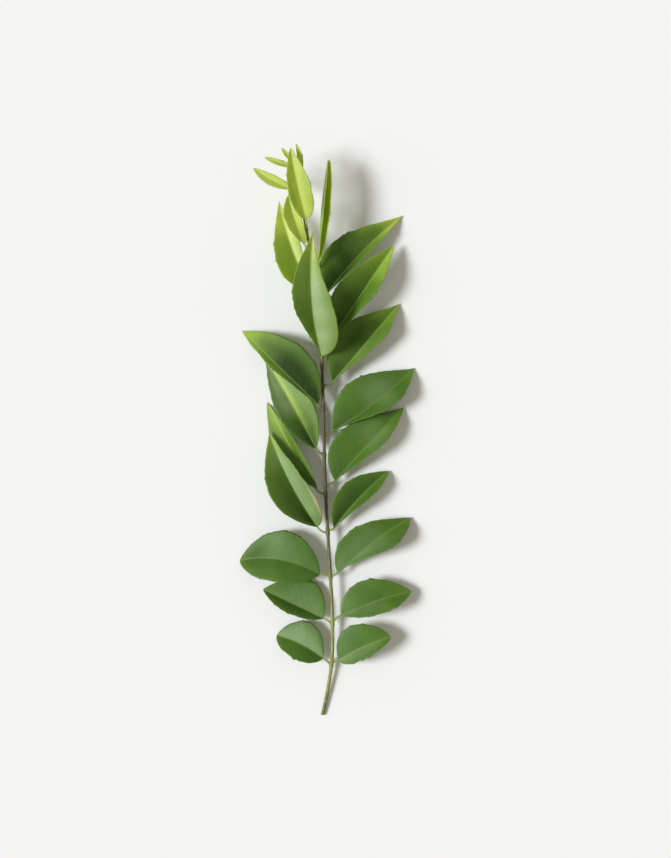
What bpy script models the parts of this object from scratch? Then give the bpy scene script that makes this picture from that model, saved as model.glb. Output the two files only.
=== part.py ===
"""Curry leaf sprig, laid down: one pinnate leaf with its rachis, its stalked leaflets and its growing tip.

The sprig lies along Y with its cut end towards -Y, on the plane z = 0. It rests on its cut end and on the
tips of its drooping leaflets. Sizes below are in millimetres and angles in degrees; meshes are in metres.
"""

import math
from dataclasses import dataclass

import bpy
import numpy as np

MM = 0.001

# Rachis: points along its middle, then its radii and the swelling where a leaflet joins it.
RACHIS_ROUTE = (
    (-2.3, -120.0, 0.78),
    (-0.3, -110.5, 1.7),
    (1.3, -100.0, 2.9),
    (1.9, -90.0, 3.8),
    (1.6, -72.0, 5.0),
    (0.2, -48.0, 5.3),
    (-1.2, -22.0, 5.4),
    (-1.9, 8.0, 6.2),
    (-2.8, 32.0, 8.4),
    (-5.0, 58.0, 11.6),
    (-8.8, 82.0, 15.4),
    (-11.9, 96.0, 18.2),
)
RACHIS_STEP = 6.0
CUT_RADIUS = 0.75
TOP_RADIUS = 0.6
NODE_SWELLING = 0.22
NODE_REACH = 1.5

# Leaflets: blade and stalk.
GAP = 0.3
STALK_RADIUS = 0.42
BLADE_THICKNESS = 0.65
RIB_DEPTH = 0.35
DEEPEST_FOLD = 2.0
APEX_HALF_WIDTH = 0.35
TOOTH_DEPTH = 0.45
BLADE_ROWS = 15
STALK_ROWS = 3
ACROSS = (-1.0, -0.5, 0.0, 0.5, 1.0)

# Growing tip: the unopened end of the rachis.
BUD_ROUTE = ((-12.05, 96.7, 18.3), (-13.2, 101.8, 19.4), (-14.2, 106.8, 20.4), (-14.8, 111.0, 21.2))
BUD_RADII = (0.6, 0.62, 0.6, 0.35)
TIP_BLADE_ROWS = 9

# Middle of the sprig's outline from above: it becomes the origin.
MIDDLE = (-0.2, -1.67, 0.0)

# Colours from a grown leaflet to a new one, linear RGB.
LEAF_COLOURS = ((0.060, 0.140, 0.025), (0.170, 0.330, 0.045), (0.550, 0.700, 0.140))
LEAF_ROUGHNESS = 0.42
RACHIS_COLOUR = (0.200, 0.240, 0.095)
RACHIS_ROUGHNESS = 0.55
SHARP_EDGE = 50.0

LEFT = -1
RIGHT = 1


@dataclass(frozen=True)
class Leaflet:
    """One leaflet. The far half is the one nearer the sprig's tip, and the near half nearer its cut end."""

    name: str
    side: int
    node: float  # where it joins the rachis, along Y
    base: tuple  # where the blade starts: X, Y and the height over the rachis
    tip: tuple
    far: float  # widths of the two halves, flat
    near: float
    far_lift: float  # how steeply each half rises from the midrib
    near_lift: float
    arch: float = 1.5  # the midrib's rise over its chord
    bow: float = 0.0  # the midrib's sideways bend, towards the far half
    far_peak: float = 0.38  # where each half is broadest, from 0 at the base to 1 at the tip
    near_peak: float = 0.55
    point: float = 0.9  # 0.6 is a blunt apex and 1.2 a drawn-out one
    curl: float = 0.10
    youth: float = 0.0  # 0 is a grown, dark leaflet and 1 a new, lime one


LEAFLETS = (
    Leaflet("leaflet_left_1", LEFT, -99.0, (-2.3, -95.8, 0.6), (-21.4, -86.3, 1.0), 9.8, 7.4, 12, 40,
            bow=1.2, far_peak=0.50, near_peak=0.48, point=0.65),
    Leaflet("leaflet_right_1", RIGHT, -97.8, (4.5, -96.5, 0.8), (26.1, -86.4, 8.5), 10.2, 6.0, 10, 48,
            bow=1.0, far_peak=0.44, near_peak=0.44, point=0.72),
    Leaflet("leaflet_left_2", LEFT, -81.6, (-1.9, -79.0, 0.4), (-27.3, -67.2, 1.0), 12.0, 6.1, 4, 52,
            arch=-0.4, far_peak=0.42, near_peak=0.48, point=0.95),
    Leaflet("leaflet_right_2", RIGHT, -80.4, (5.6, -77.9, 0.8), (34.9, -67.7, 5.0), 9.9, 7.2, 10, 48,
            bow=1.1, far_peak=0.40, near_peak=0.53, point=0.9),
    Leaflet("leaflet_left_3", LEFT, -61.3, (-3.4, -60.5, 1.0), (-37.0, -55.1, 0.75), 12.2, 10.3, 10, 32,
            arch=2.6, bow=3.4, far_peak=0.46, near_peak=0.52, point=0.72),
    Leaflet("leaflet_right_3", RIGHT, -61.7, (4.2, -60.0, 0.6), (34.8, -37.1, 1.3), 9.9, 8.7, 20, 52,
            bow=1.6, far_peak=0.34, near_peak=0.64, point=1.15),
    Leaflet("leaflet_left_4", LEFT, -43.6, (-4.4, -40.8, 0.8), (-24.7, -1.0, 2.6), 7.7, 12.1, 42, 42,
            arch=2.4, bow=-1.7, far_peak=0.29, near_peak=0.42, point=1.3),
    Leaflet("leaflet_right_4", RIGHT, -42.4, (2.6, -41.3, 0.6), (25.4, -17.6, 1.6), 9.4, 5.6, 30, 62,
            bow=1.2, far_peak=0.42, near_peak=0.62, point=1.1),
    Leaflet("leaflet_left_5", LEFT, -27.5, (-4.9, -25.0, -0.2), (-25.9, 11.2, 0.9), 6.7, 6.5, 69, 6,
            arch=-1.4, bow=-0.8, far_peak=0.42, near_peak=0.48, point=1.2),
    Leaflet("leaflet_right_5", RIGHT, -23.3, (3.1, -21.5, 0.5), (31.8, 9.2, 1.2), 12.2, 7.0, 14, 58,
            bow=0.4, far_peak=0.34, near_peak=0.58, point=1.22),
    Leaflet("leaflet_left_6", LEFT, -10.9, (-4.9, -8.1, 0.5), (-26.6, 29.6, 0.9), 8.3, 8.6, 26, 40,
            arch=0.2, bow=0.4, far_peak=0.42, near_peak=0.42, point=1.3),
    Leaflet("leaflet_right_6", RIGHT, -2.1, (2.2, -0.8, 0.7), (36.2, 25.7, 0.9), 13.0, 7.9, 14, 52,
            arch=2.2, bow=-1.3, far_peak=0.40, near_peak=0.62, point=1.3),
    Leaflet("leaflet_left_7", LEFT, 8.6, (-4.4, 10.4, 1.4), (-36.1, 41.2, 0.8), 12.6, 2.6, 14, 24,
            arch=5.0, far_peak=0.40, point=1.0, curl=0.06, youth=0.15),
    Leaflet("leaflet_right_7", RIGHT, 17.8, (1.9, 19.5, 0.5), (30.1, 52.9, 1.1), 12.6, 7.1, 14, 60,
            arch=0.8, near_peak=0.58, point=1.45, youth=0.15),
    Leaflet("leaflet_left_8", LEFT, 26.5, (-2.65, 30.2, 3.0), (-5.7, 81.7, 23.6), 10.1, 9.2, 24, 42,
            arch=3.0, bow=-2.8, far_peak=0.27, near_peak=0.53, point=1.6, youth=0.35),
    Leaflet("leaflet_right_8", RIGHT, 34.0, (1.0, 36.8, 0.8), (27.8, 77.1, 5.2), 11.3, 6.3, 34, 50,
            arch=1.6, near_peak=0.56, point=1.25, youth=0.35),
    Leaflet("leaflet_left_9", LEFT, 56.0, (-8.0, 58.8, 0.1), (-20.4, 95.0, 10.5), 3.9, 9.2, 26, 36,
            bow=-1.4, far_peak=0.42, near_peak=0.30, point=1.3, youth=0.55),
    Leaflet("leaflet_right_9", RIGHT, 52.0, (-1.6, 54.8, 0.2), (31.4, 89.8, 0.8), 11.6, 4.4, 12, 60,
            arch=0.8, bow=1.6, far_peak=0.34, point=1.4, youth=0.30),
    Leaflet("leaflet_left_10", LEFT, 73.5, (-9.8, 76.4, 1.6), (-16.2, 96.4, 18.0), 3.2, 5.0, 36, 48,
            bow=-0.8, youth=0.75),
    Leaflet("leaflet_right_10", RIGHT, 66.5, (-3.4, 69.6, 0.6), (0.6, 111.2, 15.5), 7.2, 5.9, 100, 62,
            arch=0.6, bow=0.7, far_peak=0.50, near_peak=0.50, curl=0.03, youth=0.55),
    Leaflet("leaflet_right_11", RIGHT, 82.6, (-9.0, 86.2, 3.6), (-15.2, 114.8, 26.0), 5.0, 6.0, 40, 36,
            bow=0.5, near_peak=0.36, far_peak=0.40, point=0.95, youth=0.70),
)

TIP_LEAFLETS = (
    Leaflet("tip_leaflet_1", LEFT, 97.8, (-15.2, 98.5, 0.4), (-30.6, 107.2, 20.0), 2.7, 2.7, 40, 40,
            arch=0.6, bow=-0.7, youth=0.95),
    Leaflet("tip_leaflet_2", LEFT, 105.6, (-15.4, 107.4, 0.3), (-25.9, 111.4, 22.0), 1.4, 1.4, 40, 40,
            arch=0.8, youth=0.95),
    Leaflet("tip_leaflet_3", LEFT, 108.6, (-15.0, 110.2, 0.3), (-18.8, 115.0, 23.0), 1.1, 1.1, 40, 40,
            arch=0.4, youth=1.0),
    Leaflet("tip_leaflet_4", RIGHT, 100.6, (-11.2, 104.6, 0.2), (-13.0, 116.6, 23.6), 1.3, 1.3, 40, 40,
            arch=0.8, bow=-0.8, youth=0.9),
)


def smooth_route(points, steps=16):
    """A Catmull-Rom curve through the points, sampled evenly between each two of them."""
    inner = np.array(points, float)
    held = np.vstack([2 * inner[0] - inner[1], inner, 2 * inner[-1] - inner[-2]])
    curve = []
    for a, b, c, d in zip(held, held[1:], held[2:], held[3:]):
        for step in range(steps):
            t = step / steps
            curve.append(
                0.5 * (2 * b + (c - a) * t + (2 * a - 5 * b + 4 * c - d) * t**2 + (3 * b - a - 3 * c + d) * t**3)
            )
    curve.append(inner[-1])
    return np.array(curve)


def unit(vector):
    return vector / np.linalg.norm(vector)


def point_on(line, y):
    """The point of a line that runs up Y, at that Y."""
    return np.array([np.interp(y, line[:, 1], line[:, axis]) for axis in range(3)])


def direction_on(line, y):
    return unit(point_on(line, y + 1.0) - point_on(line, y - 1.0))


RACHIS_LINE = smooth_route(RACHIS_ROUTE)
BUD_LINE = smooth_route(BUD_ROUTE)


def rachis_radius(y):
    """Taper from the cut end to the top, with a swelling at each leaflet's node."""
    plain = np.interp(y, (RACHIS_LINE[0, 1], RACHIS_LINE[-1, 1]), (CUT_RADIUS, TOP_RADIUS))
    nearest = min(abs(y - leaflet.node) for leaflet in LEAFLETS)
    return plain + NODE_SWELLING * max(0.0, 1 - (nearest / NODE_REACH) ** 2)


def half_width(leaflet, side, along):
    """Flat width of one half at a place along the blade: rises from the base, peaks, and closes to the apex."""
    far = side == -leaflet.side
    widest = leaflet.far if far else leaflet.near
    peak = leaflet.far_peak if far else leaflet.near_peak
    closing = leaflet.point
    opening = closing * peak / (1 - peak)
    share = (along / peak) ** opening * ((1 - along) / (1 - peak)) ** closing
    return max(widest * share, APEX_HALF_WIDTH)


def lift(leaflet, side):
    """Angle in radians at which one half rises from the midrib."""
    far = side == -leaflet.side
    return math.radians(leaflet.far_lift if far else leaflet.near_lift)


class Blade:
    """The leaflet's places in space: its line on the stem, its frame, and points of its surface."""

    def __init__(self, leaflet, stem_line, stem_radius, sunk=False):
        self.leaflet = leaflet
        node = point_on(stem_line, leaflet.node)
        over_stem = point_on(stem_line, min(leaflet.base[1], stem_line[-1, 1]))[2]
        self.base = np.array((leaflet.base[0], leaflet.base[1], over_stem + leaflet.base[2]))
        self.chord = np.array(leaflet.tip) - self.base
        self.ahead = unit(self.chord)
        self.up = unit(np.array((0.0, 0.0, 1.0)) - self.ahead[2] * self.ahead)
        self.right = np.cross(self.ahead, self.up)
        leaving = unit(self.base - node)
        slant = float(leaving @ direction_on(stem_line, leaflet.node))
        clear = (stem_radius + GAP + STALK_RADIUS * abs(slant)) / math.sqrt(1 - slant**2)
        self.start = node if sunk else node + leaving * clear
        self.stalk_turn = self.base - self.ahead * 0.45 * np.linalg.norm(self.base - self.start)

    def midrib(self, along):
        swing = 4 * along * (1 - along)
        bend = self.up * self.leaflet.arch - self.right * self.leaflet.side * self.leaflet.bow
        return self.base + self.chord * along + bend * swing

    def surface(self, along, across, extra=0.0):
        """Point of the upper face; across runs from -1 at the left edge to 1 at the right edge."""
        side = 1 if across > 0 else -1
        angle = lift(self.leaflet, side)
        outward = self.right * side * math.cos(angle) + self.up * math.sin(angle)
        facing = -self.right * side * math.sin(angle) + self.up * math.cos(angle)
        reach = abs(across)
        width = half_width(self.leaflet, side, along) + extra
        return self.midrib(along) + outward * width * reach - facing * self.leaflet.curl * width * reach**2

    def under(self, along, across, top):
        """Point of the lower face below a point of the upper face."""
        left = lift(self.leaflet, -1)
        right = lift(self.leaflet, 1)
        if across == 0:
            lean = 0.5 * (right - left)
            middle = -self.right * math.sin(lean) + self.up * math.cos(lean)
            deep = BLADE_THICKNESS / math.cos(0.5 * (right + left)) + RIB_DEPTH * (1 - along)
            return top - middle * min(deep, DEEPEST_FOLD)
        side = 1 if across > 0 else -1
        angle = right if side > 0 else left
        facing = -self.right * side * math.sin(angle) + self.up * math.cos(angle)
        return top - facing * BLADE_THICKNESS

    def blade_ring(self, along, tooth):
        top = [self.surface(along, across, tooth if abs(across) == 1 else 0.0) for across in ACROSS]
        below = [self.under(along, across, point) for across, point in zip(ACROSS, top)]
        return top + below[::-1]

    def stalk_ring(self, share):
        """Round section of the stalk, with its ten points in the order of a blade ring."""
        a, b, c = self.start, self.stalk_turn, self.base
        middle = a * (1 - share) ** 2 + b * 2 * share * (1 - share) + c * share**2
        ahead = unit((b - a) * (1 - share) + (c - b) * share)
        up = unit(self.up - ahead * float(self.up @ ahead))
        right = np.cross(ahead, up)
        middle = middle - up * STALK_RADIUS * share
        ring = []
        for step in range(2 * len(ACROSS)):
            turn = math.pi * (0.9 - 0.2 * step)
            ring.append(middle + (right * math.cos(turn) + up * math.sin(turn)) * STALK_RADIUS)
        return ring

    def rings(self, rows=BLADE_ROWS, tooth_depth=TOOTH_DEPTH):
        rings = [self.stalk_ring(row / STALK_ROWS) for row in range(STALK_ROWS)]
        for row in range(rows + 1):
            along = 0.5 - 0.5 * math.cos(math.pi * (row + 0.35) / (rows + 0.35))
            bulge = math.sin(math.pi * along)
            tooth = tooth_depth * bulge * (0.5 if row % 2 else -0.5)
            rings.append(self.blade_ring(along, tooth))
        return rings


# Columns of a ten-point ring whose quads are split from the base's near corner, so that both faces of a
# blade, and both its halves, are split alike: from the midrib outwards and forwards, as its veins run.
SPLIT_FORWARD = (2, 3, 4, 7, 8, 9)


def ring_faces(rows):
    """Triangles that close a tube of ten-point rings, its two ends included."""
    count = 2 * len(ACROSS)
    faces = []
    for row in range(rows - 1):
        for column in range(count):
            a = row * count + column
            b = row * count + (column + 1) % count
            c = a + count
            d = b + count
            faces += [(a, b, d), (a, d, c)] if column in SPLIT_FORWARD else [(a, b, c), (b, d, c)]
    last = (rows - 1) * count
    for column in range(len(ACROSS) - 1):
        a, b = column, column + 1
        under_a, under_b = count - 1 - a, count - 1 - b
        faces += [(a, under_a, b), (under_a, under_b, b)]
        faces += [(last + a, last + b, last + under_a), (last + b, last + under_b, last + under_a)]
    return faces


def material(name, colour, roughness):
    made = bpy.data.materials.new(name)
    made.use_nodes = True
    shader = made.node_tree.nodes["Principled BSDF"]
    shader.inputs["Base Color"].default_value = (*colour, 1.0)
    shader.inputs["Roughness"].default_value = roughness
    shader.inputs["Metallic"].default_value = 0.0
    return made


def leaf_colour(youth):
    steps = np.linspace(0.0, 1.0, len(LEAF_COLOURS))
    return [float(np.interp(youth, steps, channel)) for channel in zip(*LEAF_COLOURS)]


def placed(points):
    """Millimetres along the sprig's own lines, as metres from the origin."""
    return (np.asarray(points) - np.array(MIDDLE)) * MM


def object_from_rings(name, rings):
    mesh = bpy.data.meshes.new(name)
    points = placed(np.array(rings).reshape(-1, 3))
    mesh.from_pydata([tuple(point) for point in points], [], ring_faces(len(rings)))
    mesh.shade_smooth()
    mesh.set_sharp_from_angle(angle=math.radians(SHARP_EDGE))
    made = bpy.data.objects.new(name, mesh)
    bpy.context.scene.collection.objects.link(made)
    return made


def make_leaflet(leaflet):
    blade = Blade(leaflet, RACHIS_LINE, rachis_radius(leaflet.node))
    made = object_from_rings(leaflet.name, blade.rings())
    made.data.materials.append(material(leaflet.name, leaf_colour(leaflet.youth), LEAF_ROUGHNESS))


def make_rachis():
    """The stem: a tapering round curve from the cut end to the foot of the growing tip."""
    first, last = RACHIS_LINE[0, 1], RACHIS_LINE[-1, 1]
    nodes = [leaflet.node for leaflet in LEAFLETS]
    stations = {first, last}
    for node in nodes:
        stations |= {node - NODE_REACH, node, node + NODE_REACH}
    for plain in np.arange(first + RACHIS_STEP, last - 0.5 * RACHIS_STEP, RACHIS_STEP):
        if min(abs(plain - node) for node in nodes) > NODE_REACH + 1.0:
            stations.add(float(plain))
    stations = sorted(y for y in stations if first <= y <= last)
    curve = bpy.data.curves.new("rachis", "CURVE")
    curve.dimensions = "3D"
    curve.bevel_depth = CUT_RADIUS * MM
    curve.bevel_resolution = 2
    curve.use_fill_caps = True
    spline = curve.splines.new("POLY")
    spline.points.add(len(stations) - 1)
    for point, y in zip(spline.points, stations):
        point.co = (*placed(point_on(RACHIS_LINE, y)), 1.0)
        point.radius = rachis_radius(y) / CUT_RADIUS
    made = bpy.data.objects.new("rachis", curve)
    curve.materials.append(material("rachis", RACHIS_COLOUR, RACHIS_ROUGHNESS))
    bpy.context.scene.collection.objects.link(made)


def bud_rings():
    """The growing tip's stem, as rings in the order of a blade ring."""
    along = [point[1] for point in BUD_ROUTE]
    rings = []
    for y in np.linspace(BUD_LINE[0, 1], BUD_LINE[-1, 1], 2 * len(BUD_ROUTE)):
        middle = point_on(BUD_LINE, y)
        ahead = direction_on(BUD_LINE, min(max(y, along[0] + 1.0), along[-1] - 1.0))
        up = unit(np.array((0.0, 0.0, 1.0)) - ahead[2] * ahead)
        right = np.cross(ahead, up)
        radius = float(np.interp(y, along, BUD_RADII))
        turns = [math.pi * (0.9 - 0.2 * step) for step in range(2 * len(ACROSS))]
        rings.append([middle + (right * math.cos(turn) + up * math.sin(turn)) * radius for turn in turns])
    return rings


def join(body, others):
    """Fuses the others into the body with one Boolean union on their collection."""
    group = bpy.data.collections.new("to_join")
    bpy.context.scene.collection.children.link(group)
    for other in others:
        bpy.context.scene.collection.objects.unlink(other)
        group.objects.link(other)
    union = body.modifiers.new("Union", "BOOLEAN")
    union.operation = "UNION"
    union.operand_type = "COLLECTION"
    union.collection = group
    bpy.context.view_layer.objects.active = body
    bpy.ops.object.modifier_apply(modifier=union.name)
    for other in others:
        bpy.data.objects.remove(other)
    bpy.data.collections.remove(group)


def make_growing_tip():
    """The youngest end, grown as one piece: its stem and the four smallest leaflets."""
    body = object_from_rings("growing_tip", bud_rings())
    leaflets = []
    for leaflet in TIP_LEAFLETS:
        blade = Blade(leaflet, BUD_LINE, BUD_RADII[0], sunk=True)
        leaflets.append(object_from_rings(leaflet.name, blade.rings(TIP_BLADE_ROWS, 0.0)))
    join(body, leaflets)
    body.data.materials.append(material("growing_tip", leaf_colour(1.0), LEAF_ROUGHNESS))


def main():
    for old in list(bpy.data.objects):
        bpy.data.objects.remove(old)
    make_rachis()
    for leaflet in LEAFLETS:
        make_leaflet(leaflet)
    make_growing_tip()


main()
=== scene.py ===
"""Curry leaf sprig, dressed: leaflets, stalks, stem and growing tip on a pale surface, in soft light.

Each leaflet follows the same rule as its solid in the frame: a midrib between two points, two halves that
rise from it, and a width that opens, peaks and closes. Here the rule is a Geometry Nodes tree with fine
teeth, ripples, veins and a thin edge. Sizes are in millimetres and angles in degrees until a tree reads them.
"""

import math
from dataclasses import dataclass
import bpy
import numpy as np
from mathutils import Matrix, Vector


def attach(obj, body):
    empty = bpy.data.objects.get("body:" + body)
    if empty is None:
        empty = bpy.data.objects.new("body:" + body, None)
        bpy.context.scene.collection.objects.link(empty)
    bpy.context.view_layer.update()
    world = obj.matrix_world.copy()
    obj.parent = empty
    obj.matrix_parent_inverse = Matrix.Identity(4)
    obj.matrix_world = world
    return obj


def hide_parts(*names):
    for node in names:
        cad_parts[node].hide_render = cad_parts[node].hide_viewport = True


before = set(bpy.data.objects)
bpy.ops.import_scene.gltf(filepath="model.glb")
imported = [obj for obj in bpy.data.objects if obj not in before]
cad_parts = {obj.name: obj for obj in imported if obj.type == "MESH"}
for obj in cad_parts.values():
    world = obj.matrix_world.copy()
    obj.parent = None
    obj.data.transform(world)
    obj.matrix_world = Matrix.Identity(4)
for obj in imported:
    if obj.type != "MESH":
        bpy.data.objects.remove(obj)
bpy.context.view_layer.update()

MM = 0.001

# The sprig's own lines, as in its solids. MIDDLE is where the frame's origin lies on them.
MIDDLE = (-0.2, -1.67, 0.0)
RACHIS_ROUTE = (
    (-2.3, -120.0, 0.78),
    (-0.3, -110.5, 1.7),
    (1.3, -100.0, 2.9),
    (1.9, -90.0, 3.8),
    (1.6, -72.0, 5.0),
    (0.2, -48.0, 5.3),
    (-1.2, -22.0, 5.4),
    (-1.9, 8.0, 6.2),
    (-2.8, 32.0, 8.4),
    (-5.0, 58.0, 11.6),
    (-8.8, 82.0, 15.4),
    (-11.9, 96.0, 18.2),
)
CUT_RADIUS = 0.75
TOP_RADIUS = 0.6
NODE_SWELLING = 0.22  # how much thicker the stem is where a leaflet joins it
NODE_REACH = 1.5  # how far each way such a swelling runs
BUD_ROUTE = ((-12.05, 96.7, 18.3), (-13.2, 101.8, 19.4), (-14.2, 106.8, 20.4), (-14.8, 111.0, 21.2))
BUD_RADII = (0.6, 0.62, 0.6, 0.35)
BUD_ROUNDING = 1.2  # the length of its round end

LEFT = -1
RIGHT = 1
STALK_RADIUS = 0.42
STALK_BEND = 0.45  # how far behind the blade's base a stalk bends, of its own length


@dataclass(frozen=True)
class Leaflet:
    """One leaflet. Its far half is the one nearer the sprig's tip, and its near half nearer the cut end."""

    name: str
    side: int
    node: float  # where it joins the rachis, along Y
    base: tuple  # where the blade starts: X, Y and the height over the rachis
    tip: tuple  # where it ends: X, Y and the height over the surface
    far: float  # widths of the two halves, flat
    near: float
    far_lift: float  # how steeply each half rises from the midrib
    near_lift: float
    arch: float = 1.5  # the midrib's rise over its chord
    bow: float = 0.0  # the midrib's sideways bend, towards the far half
    far_peak: float = 0.38  # where each half is broadest, from 0 at the base to 1 at the tip
    near_peak: float = 0.55
    point: float = 0.9  # 0.6 is a blunt apex and 1.2 a drawn-out one
    curl: float = 0.10
    youth: float = 0.0  # 0 is a grown, dark leaflet and 1 a new, lime one
    tip_youth: float = 0.12  # how much younger its apex looks
    heart_youth: float = 0.05  # how much younger it looks along the midrib
    far_youth: float = 0.0  # how much younger its far half looks
    far_bloom: float = 0.0  # painted light on each half: over 0 a pale painted sheen, under 0 a painted shade of deeper green
    near_bloom: float = 0.0
    far_drift: float = 0.0  # how much painted light each half gains between its base and its apex
    near_drift: float = 0.0
    apex: float = 0.0  # how much painted light both halves lose again close to the apex
    dryness: float = 0.0  # how far the far half's edge has dried near the base


# Each half's painted light in this table: over 0 a pale painted sheen, under 0 a painted shade; the drifts
# and the apex shape it from base to tip
LEAFLETS = (
    Leaflet("leaflet_left_1", LEFT, -99.0, (-2.3, -95.8, 0.6), (-21.4, -86.3, 1.0), 9.8, 7.4, 12, 40,
            bow=1.2, far_peak=0.50, near_peak=0.48, point=0.65,
            near_bloom=-0.08, far_bloom=0.30, far_drift=-0.1, apex=0.1),
    Leaflet("leaflet_right_1", RIGHT, -97.8, (4.5, -96.5, 0.8), (26.1, -86.4, 8.5), 10.2, 6.0, 10, 48,
            bow=1.0, far_peak=0.44, near_peak=0.44, point=0.72,
            near_bloom=0.24, far_bloom=0.0, near_drift=-0.1, far_drift=-0.1, apex=0.1),
    Leaflet("leaflet_left_2", LEFT, -81.6, (-1.9, -79.0, 0.4), (-27.3, -67.2, 1.0), 12.0, 6.1, 4, 52,
            arch=-0.4, far_peak=0.42, near_peak=0.48, point=0.95,
            near_bloom=-0.25, far_bloom=0.04, apex=0.25),
    Leaflet("leaflet_right_2", RIGHT, -80.4, (5.6, -77.9, 0.8), (34.9, -67.7, 5.0), 9.9, 7.2, 10, 48,
            bow=1.1, far_peak=0.40, near_peak=0.53, point=0.9,
            near_bloom=0.12, far_bloom=0.0, near_drift=-0.12, far_drift=-0.12, apex=0.2),
    Leaflet("leaflet_left_3", LEFT, -61.3, (-3.4, -60.5, 1.0), (-37.0, -55.1, 0.75), 12.2, 10.3, 10, 32,
            arch=2.6, bow=3.4, far_peak=0.46, near_peak=0.52, point=0.72,
            near_bloom=-0.1, far_bloom=0.05, apex=0.6),
    Leaflet("leaflet_right_3", RIGHT, -61.7, (4.2, -60.0, 0.6), (34.8, -37.1, 1.3), 9.9, 8.7, 20, 52,
            bow=1.6, far_peak=0.34, near_peak=0.64, point=1.15,
            near_bloom=0.20, far_bloom=0.16, near_drift=-0.15, far_drift=-0.15, apex=0.2),
    Leaflet("leaflet_left_4", LEFT, -43.6, (-4.4, -40.8, 0.8), (-24.7, -1.0, 2.6), 7.7, 12.1, 42, 42,
            arch=2.4, bow=-1.7, far_peak=0.29, near_peak=0.42, point=1.3, youth=0.12, tip_youth=0.4,
            near_bloom=-0.2, far_bloom=0.40, near_drift=0.7, far_drift=0.2, dryness=1.0),
    Leaflet("leaflet_right_4", RIGHT, -42.4, (2.6, -41.3, 0.6), (25.4, -17.6, 1.6), 9.4, 5.6, 30, 62,
            bow=1.2, far_peak=0.42, near_peak=0.62, point=1.1,
            near_bloom=0.02, far_bloom=-0.4, far_drift=0.5),
    Leaflet("leaflet_left_5", LEFT, -27.5, (-4.9, -25.0, -0.2), (-25.9, 11.2, 0.9), 6.7, 6.5, 69, 6,
            arch=-1.4, bow=-0.8, far_peak=0.42, near_peak=0.48, point=1.2, youth=0.2, tip_youth=0.2,
            heart_youth=0.25, near_bloom=-0.1, far_bloom=-0.1, near_drift=0.5, far_drift=0.5),
    Leaflet("leaflet_right_5", RIGHT, -23.3, (3.1, -21.5, 0.5), (31.8, 9.2, 1.2), 12.2, 7.0, 14, 58,
            bow=0.4, far_peak=0.34, near_peak=0.58, point=1.22,
            near_bloom=0.08, far_bloom=0.05, near_drift=0.5, far_drift=0.45, apex=0.5),
    Leaflet("leaflet_left_6", LEFT, -10.9, (-4.9, -8.1, 0.5), (-26.6, 29.6, 0.9), 8.3, 8.6, 26, 40,
            arch=0.2, bow=0.4, far_peak=0.42, near_peak=0.42, point=1.3, heart_youth=0.40, far_youth=0.35,
            near_bloom=0.45, far_bloom=-0.15, near_drift=1.8, far_drift=0.8, apex=0.5),
    Leaflet("leaflet_right_6", RIGHT, -2.1, (2.2, -0.8, 0.7), (36.2, 25.7, 0.9), 13.0, 7.9, 14, 52,
            arch=2.2, bow=-1.3, far_peak=0.40, near_peak=0.62, point=1.3,
            near_bloom=0.02, far_bloom=0.12, near_drift=0.5, far_drift=0.6, apex=0.6),
    Leaflet("leaflet_left_7", LEFT, 8.6, (-4.4, 10.4, 1.4), (-36.1, 41.2, 0.8), 12.6, 2.6, 14, 24,
            arch=5.0, far_peak=0.40, point=1.0, curl=0.06, youth=0.12, tip_youth=0.50,
            near_bloom=-0.3, far_bloom=-0.8, near_drift=0.6, far_drift=0.6),
    Leaflet("leaflet_right_7", RIGHT, 17.8, (1.9, 19.5, 0.5), (30.1, 52.9, 1.1), 12.6, 7.1, 14, 60,
            arch=0.8, near_peak=0.58, point=1.45, youth=0.20, tip_youth=0.25,
            near_bloom=0.08, far_bloom=-0.6, near_drift=-0.1),
    Leaflet("leaflet_left_8", LEFT, 26.5, (-2.65, 30.2, 3.0), (-5.7, 81.7, 23.6), 10.1, 9.2, 24, 42,
            arch=3.0, bow=-2.8, far_peak=0.27, near_peak=0.53, point=1.6, youth=0.30, tip_youth=0.5,
            far_youth=0.1, near_bloom=0.1, far_bloom=0.75, near_drift=0.2),
    Leaflet("leaflet_right_8", RIGHT, 34.0, (1.0, 36.8, 0.8), (27.8, 77.1, 5.2), 11.3, 6.3, 34, 50,
            arch=1.6, near_peak=0.56, point=1.25, youth=0.25, tip_youth=0.42,
            near_bloom=-0.1, far_bloom=-0.5, near_drift=0.3, far_drift=0.35),
    Leaflet("leaflet_left_9", LEFT, 56.0, (-8.0, 58.8, 0.1), (-20.4, 95.0, 10.5), 3.9, 9.2, 26, 36,
            bow=-1.4, far_peak=0.42, near_peak=0.30, point=1.3, youth=0.72, tip_youth=0.4, far_youth=0.1,
            near_bloom=0.2, far_bloom=0.8, near_drift=0.6, far_drift=0.2),
    Leaflet("leaflet_right_9", RIGHT, 52.0, (-1.6, 54.8, 0.2), (31.4, 89.8, 0.8), 11.6, 4.4, 12, 60,
            arch=0.8, bow=1.6, far_peak=0.34, point=1.4, youth=0.15, tip_youth=0.7,
            near_bloom=-0.1, far_bloom=-0.6, near_drift=0.5, far_drift=0.35),
    Leaflet("leaflet_left_10", LEFT, 73.5, (-9.8, 76.4, 1.6), (-16.2, 96.4, 18.0), 3.2, 5.0, 36, 48,
            bow=-0.8, youth=0.95,
            near_bloom=0.6, far_bloom=0.0, near_drift=0.3, far_drift=0.3),
    Leaflet("leaflet_right_10", RIGHT, 66.5, (-3.4, 69.6, 0.6), (0.6, 111.2, 15.5), 7.2, 5.9, 100, 62,
            arch=0.6, bow=0.7, far_peak=0.50, near_peak=0.50, curl=0.03, youth=0.85,
            near_bloom=0.5, far_bloom=1.0),
    Leaflet("leaflet_right_11", RIGHT, 82.6, (-9.0, 86.2, 3.6), (-15.2, 114.8, 26.0), 5.0, 6.0, 40, 36,
            bow=0.5, near_peak=0.36, far_peak=0.40, point=0.95, youth=0.86, tip_youth=0.2, heart_youth=0.3,
            near_bloom=0.5, far_bloom=0.05, near_drift=0.1),
)

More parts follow.
